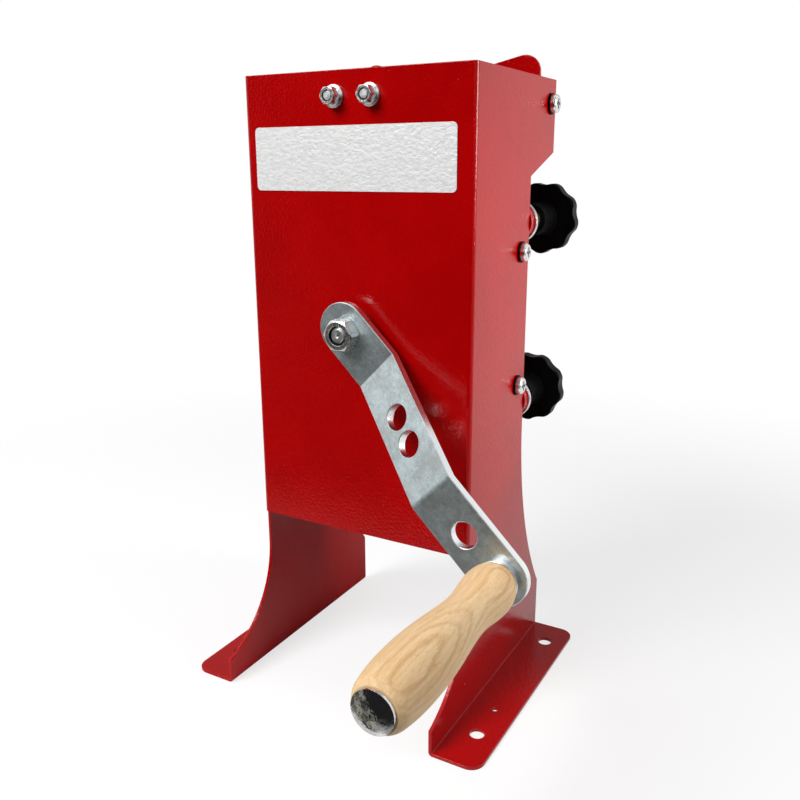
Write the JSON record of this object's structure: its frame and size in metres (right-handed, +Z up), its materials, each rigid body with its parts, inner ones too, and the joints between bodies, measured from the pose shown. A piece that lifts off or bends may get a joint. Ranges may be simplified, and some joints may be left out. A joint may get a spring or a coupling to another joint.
{
  "type": "manual nutcracker",
  "caption": "Free-standing hand-cranked nutcracker: folded sheet hopper on flared legs, toothed roller, adjustable jaw set by star knobs, and a joggled crank arm with a wooden grip.",
  "frame": {"origin": "on the floor, in the middle of the four foot bolt holes", "axes": "+Z up, +X to the right of the person who turns the crank, +Y from the crank side to the rear"},
  "size_m": [0.2647, 0.3553, 0.4477],
  "materials": {
    "red_coat": "glossy powder coat",
    "zinc": "dull zinc plating",
    "bright_steel": "polished",
    "stainless": "rolled sheet",
    "tooth_steel": "machined and blued",
    "bearing_bronze": "turned",
    "insert_brass": "turned",
    "beech": "oiled",
    "knob_black": "satin moulding",
    "foil": "pale foil"
  },
  "bodies": {
    "housing": {"housing_shell": "red_coat", "rear_cover": "red_coat", "cover_screws": "bright_steel", "cover_washers": "knob_black", "cover_nuts": "zinc", "front_label": "foil", "hopper_guide": "stainless", "guide_bolts": "bright_steel", "guide_nuts": "bright_steel", "front_bush": "bearing_bronze", "rear_bush": "bearing_bronze"},
    "crank": {"crank_shaft": "zinc", "shaft_ring": "tooth_steel", "cracking_roller": "tooth_steel", "roller_pin": "zinc", "arm_spacer": "zinc", "crank_arm": "zinc", "arm_nut": "bright_steel", "grip_collar": "bright_steel", "grip_bolt": "bright_steel", "grip_nut": "zinc"},
    "grip": {"crank_grip": "beech"},
    "jaw_slider": {"upper_clamp_bolt": "zinc", "upper_boss": "red_coat", "upper_washer": "zinc"},
    "jaw": {"jaw": "tooth_steel", "lower_clamp_bolt": "zinc", "lower_boss": "red_coat", "lower_washer": "zinc"},
    "upper_knob": {"upper_knob": "knob_black", "upper_insert": "insert_brass"},
    "lower_knob": {"lower_knob": "knob_black", "lower_insert": "insert_brass"}
  },
  "joints": [
    {"name": "crank_turn", "type": "hinge", "parent": "housing", "child": "crank", "pos_m": [0, -0.048, 0.2665], "axis": [0, 1, 0], "continuous": true},
    {"name": "grip_spin", "type": "hinge", "parent": "crank", "child": "grip", "pos_m": [0.12865, -0.12, 0.13919], "axis": [0, 1, 0], "continuous": true},
    {"name": "jaw_shift", "type": "slide", "parent": "housing", "child": "jaw_slider", "axis": [1, 0, 0], "range_m": [-0.016, 0]},
    {"name": "jaw_tilt", "type": "hinge", "parent": "jaw_slider", "child": "jaw", "pos_m": [0.0731, 0.043, 0.3342], "axis": [0, 1, 0], "range_deg": [0, 4]},
    {"name": "upper_knob_turn", "type": "hinge", "parent": "jaw_slider", "child": "upper_knob", "pos_m": [0.0731, 0.09, 0.3342], "axis": [0, 1, 0], "continuous": true},
    {"name": "lower_knob_turn", "type": "hinge", "parent": "jaw", "child": "lower_knob", "pos_m": [0.0731, 0.08, 0.2062], "axis": [0, 1, 0], "continuous": true}
  ]
}
